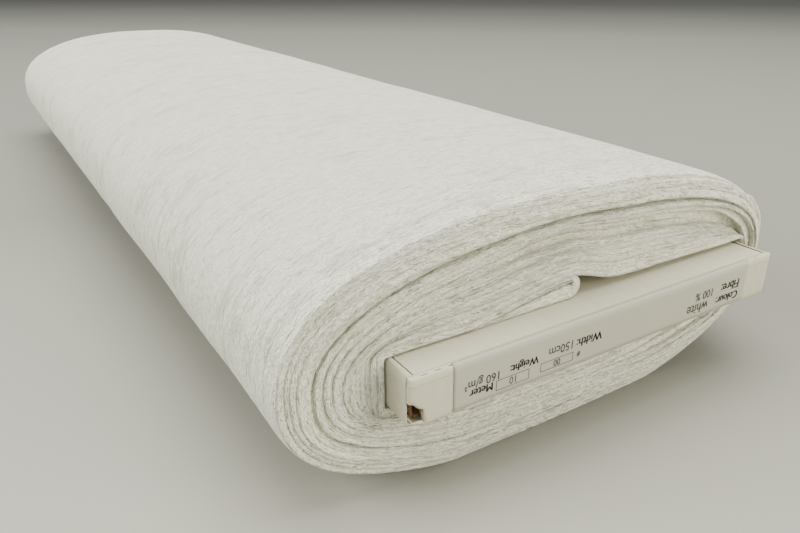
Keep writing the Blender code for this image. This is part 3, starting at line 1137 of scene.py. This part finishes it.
def make_print(material):
    """The label's words, numbers and boxes as one thin raised mesh, upside down on the end."""
    points, faces, start = [], [], 0
    face = FLAP_LOW[1] - INK_STAND_OFF
    for words, heavy, across, up, width in LABEL_TEXT:
        flat, made = text_mesh(words, heavy)
        flat = flat * width
        x = BOARD_MIDDLE + across - flat[:, 0]
        z = BOARD_BOTTOM + up - flat[:, 1] * 1.08
        place = np.stack([x, face - flat[:, 2] * 0.2, z], axis=1)
        points.append(place)
        faces += [[index + start for index in corners] for corners in made]
        start += len(place)
    for low_x, high_x, low_z, high_z in LABEL_BOXES:
        outer = np.array([(low_x, low_z), (high_x, low_z), (high_x, high_z), (low_x, high_z)])
        inner = outer + BOX_LINE * np.array([(1, 1), (-1, 1), (-1, -1), (1, -1)])
        ring = np.concatenate([outer, inner])
        x, z = BOARD_MIDDLE + ring[:, 0], BOARD_BOTTOM + ring[:, 1]
        points.append(np.stack([x, np.full(8, face), z], axis=1))
        for i in range(4):
            following = (i + 1) % 4
            faces.append([start + i, start + following, start + 4 + following, start + 4 + i])
        start += 8
    ink = mesh_of("label_print", np.concatenate(points), faces, [material], smooth=False)
    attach(ink, "near_end_flap")
    return ink


# Operators

FLOOR_REACH = 7.0
FLOOR_ROWS = 9
SKY_COLOUR = (0.90, 0.93, 0.95, 1)
SKY_STRENGTH = 0.62
LAMP_AIM = (0, 0, 0.05)
LAMPS = (
    # name, place, size, power, colour
    ("key", (-2.4, 0.9, 1.5), 2.0, 124, (1.0, 0.99, 0.955)),
    ("top", (0.2, -0.1, 1.9), 1.8, 72, (1.0, 0.985, 0.94)),
    ("front", (1.0, -1.7, 0.55), 1.2, 36, (1.0, 0.94, 0.80)),
)


class FABRICBOLT_OT_stage(bpy.types.Operator):
    """Add the floor, the lights and the camera"""

    bl_idname = "fabric_bolt.stage"
    bl_label = "Stage"

    def execute(self, context):
        settings = context.scene.bolt_stage
        reach = np.linspace(-FLOOR_REACH, FLOOR_REACH, FLOOR_ROWS)
        x, y = np.meshgrid(reach, reach)
        points = np.stack([x.ravel(), y.ravel(), 0 * x.ravel()], axis=1)
        faces = grid_faces(FLOOR_ROWS, FLOOR_ROWS)
        floor = mesh_of("floor", points, faces, [floor_material(settings)])
        world = context.scene.world or bpy.data.worlds.new("studio")
        context.scene.world = world
        world.use_nodes = True
        background = world.node_tree.nodes["Background"]
        background.inputs["Color"].default_value = SKY_COLOUR
        background.inputs["Strength"].default_value = SKY_STRENGTH
        for name, place, size, energy, colour in LAMPS:
            lamp = bpy.data.lights.new(name, "AREA")
            lamp.size = size
            lamp.energy = energy
            lamp.color = colour
            holder = bpy.data.objects.new(name, lamp)
            context.scene.collection.objects.link(holder)
            holder.location = place
            aim = Vector(LAMP_AIM) - Vector(place)
            holder.rotation_euler = aim.to_track_quat("-Z", "Y").to_euler()
        lens = bpy.data.cameras.new("camera")
        lens.lens = settings.focal
        lens.sensor_width = 36
        lens.clip_start = 0.01
        camera = bpy.data.objects.new("camera", lens)
        context.scene.collection.objects.link(camera)
        heading, pitch, roll = settings.heading, settings.pitch, settings.roll
        ahead = Vector((math.sin(heading), math.cos(heading), 0)) * math.cos(pitch)
        ahead.z = -math.sin(pitch)
        level = Vector((math.cos(heading), -math.sin(heading), 0))
        right = level * math.cos(roll) + level.cross(ahead) * math.sin(roll)
        turn = Matrix((right, right.cross(ahead), -ahead)).transposed()
        camera.matrix_world = Matrix.Translation(settings.camera_place) @ turn.to_4x4()
        context.scene.camera = camera
        return {"FINISHED"}


# Columns of the sheet: over the hem, round its bend, in each turn, and closer in the inner turns
HEM_STEPS = (1.0, 0.998, 0.99, 0.975, 0.95, 0.8, 0.6, 0.4)
HEM_BEND_STEPS = 12
TURN_STEPS = 88
INNER_TURNS = 1.2
INNER_STEPS = int(round(INNER_TURNS * TURN_STEPS)) * 5
OUTER_TURN_STEPS = 216
LOOSE_PARTS = 60
LOOSE_STEPS = 40
LOOSE_RIM = (0.0014, 0.0008, 0.0003, 0.0)


class FABRICBOLT_OT_velvet(bpy.types.Operator):
    """Wind the doubled velvet round the board, and lay its loose end on the outside"""

    bl_idname = "fabric_bolt.velvet"
    bl_label = "Wound Velvet"

    def execute(self, context):
        settings = context.scene.bolt_velvet
        velvet = shared_material("crushed_velvet", velvet_material, settings)
        cloth = Cloth(settings)
        coarse_end = cloth.last - 1
        bend = np.linspace(HEM_BEND, 0, HEM_BEND_STEPS + 1)[:-1]
        inner = np.linspace(0, INNER_TURNS, INNER_STEPS)[:-1]
        rest_steps = int(round((coarse_end - INNER_TURNS) * TURN_STEPS))
        rest = np.linspace(INNER_TURNS, coarse_end, rest_steps)
        coarse = np.concatenate([-np.array(HEM_STEPS), -bend, inner, rest])
        fine = np.linspace(coarse_end, cloth.last, OUTER_TURN_STEPS)
        points, coordinates, faces = stitched_sheet(cloth, coarse, fine)
        roll = mesh_of("wound_velvet", points, faces, [velvet])
        set_uv(roll, coordinates)
        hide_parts("cloth_roll", "cloth_inner_end")
        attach(roll, "wound_cloth")

        rows = cross_rows(np.linspace(0, 1, LOOSE_PARTS)[1:-1])
        turn = np.linspace(cloth.last, cloth.free, LOOSE_STEPS)
        turn = np.concatenate([turn[:-1], cloth.free - np.array(LOOSE_RIM)])
        turn.sort()
        loose, loose_uv = cloth.points(turn, rows)
        loose_uv[..., 0] += coordinates[:, 0].max() - loose_uv[..., 0].min()
        faces = grid_faces(*loose.shape[:2])
        end = mesh_of("loose_velvet_end", loose.reshape(-1, 3), faces, [velvet])
        set_uv(end, loose_uv.reshape(-1, 2))
        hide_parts("cloth_free_end")
        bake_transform(end)
        return {"FINISHED"}


BOARD_CARDS = (
    # name, CAD plate, side of the outer liner, curled edges
    ("board_top_card", "board_top_panel", (2, 1), NO_CURLS),
    ("board_bottom_card_left", "board_bottom_panel_left", (2, -1), NO_CURLS),
    ("board_bottom_card_right", "board_bottom_panel_right", (2, -1), NO_CURLS),
    ("board_wall_card_left", "board_side_wall_left", (0, -1), (1, 1, 0, 0)),
    ("board_wall_card_right", "board_side_wall_right", (0, 1), (1, 1, 0, 0)),
    ("board_rib_card_left", "board_rib_left", (0, 1), NO_CURLS),
    ("board_rib_card_right", "board_rib_right", (0, -1), NO_CURLS),
)


class FABRICBOLT_OT_board(bpy.types.Operator):
    """Dress the hollow board's panels, walls and ribs in corrugated card"""

    bl_idname = "fabric_bolt.board"
    bl_label = "Card Board"

    def execute(self, context):
        settings = context.scene.bolt_card
        for name, plate, outside, curls in BOARD_CARDS:
            card_from_node(name, plate, settings, outside, 1, "board", curls)
        return {"FINISHED"}


class FABRICBOLT_OT_ends(bpy.types.Operator):
    """Dress both end closures: end flaps, their creases, tuck flaps and dust flaps"""

    bl_idname = "fabric_bolt.ends"
    bl_label = "End Flaps"

    def execute(self, context):
        settings = context.scene.bolt_card
        for end, name in ((-1, "near"), (1, "far")):
            make_end_flap(settings, end)
            make_crease(f"{name}_crease_card", settings, end)
            tuck = f"{name}_tuck_flap"
            card_from_node(f"{name}_tuck_card", tuck, settings, (2, -1), 1, tuck)
            for side in ("left", "right"):
                flap = f"{name}_dust_flap_{side}"
                cut = torn_hinge if (end, side) == (-1, "left") else None
                card = f"{name}_dust_card_{side}"
                card_from_node(card, flap, settings, (1, end), 0, flap, cut=cut)
        return {"FINISHED"}


class FABRICBOLT_OT_label(bpy.types.Operator):
    """Stick the printed paper label on the near end flap"""

    bl_idname = "fabric_bolt.label"
    bl_label = "End Label"

    def execute(self, context):
        settings = context.scene.bolt_card
        name = "label_paper_finish"
        paper = shared_material(name, card_material, name, settings.paper, 0.02, 0.5)
        make_label(settings, paper)
        make_print(ink_material(settings))
        return {"FINISHED"}


class FABRICBOLT_PT_sidebar(bpy.types.Panel):
    """Lists the pieces of the bolt with their settings"""

    bl_label = "Fabric Bolt"
    bl_space_type = "VIEW_3D"
    bl_region_type = "UI"
    bl_category = "Fabric Bolt"

    def draw(self, context):
        layout = self.layout
        for group in (context.scene.bolt_velvet, context.scene.bolt_card, context.scene.bolt_stage):
            box = layout.box()
            for name in group.bl_rna.properties.keys():
                if name not in {"rna_type", "name"}:
                    box.prop(group, name)
        for operator in OPERATORS:
            layout.operator(operator.bl_idname)


GROUPS = (VelvetSettings, CardSettings, StageSettings)
OPERATORS = (
    FABRICBOLT_OT_stage,
    FABRICBOLT_OT_velvet,
    FABRICBOLT_OT_board,
    FABRICBOLT_OT_ends,
    FABRICBOLT_OT_label,
)
CLASSES = GROUPS + OPERATORS + (FABRICBOLT_PT_sidebar,)


def register():
    for made in CLASSES:
        bpy.utils.register_class(made)
    bpy.types.Scene.bolt_velvet = PointerProperty(type=VelvetSettings)
    bpy.types.Scene.bolt_card = PointerProperty(type=CardSettings)
    bpy.types.Scene.bolt_stage = PointerProperty(type=StageSettings)


def unregister():
    del bpy.types.Scene.bolt_velvet
    del bpy.types.Scene.bolt_card
    del bpy.types.Scene.bolt_stage
    for made in reversed(CLASSES):
        bpy.utils.unregister_class(made)


def main():
    """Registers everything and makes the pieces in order."""
    register()
    bpy.ops.fabric_bolt.stage()
    bpy.ops.fabric_bolt.velvet()
    bpy.ops.fabric_bolt.board()
    bpy.ops.fabric_bolt.ends()
    bpy.ops.fabric_bolt.label()


if __name__ == "__main__":
    main()
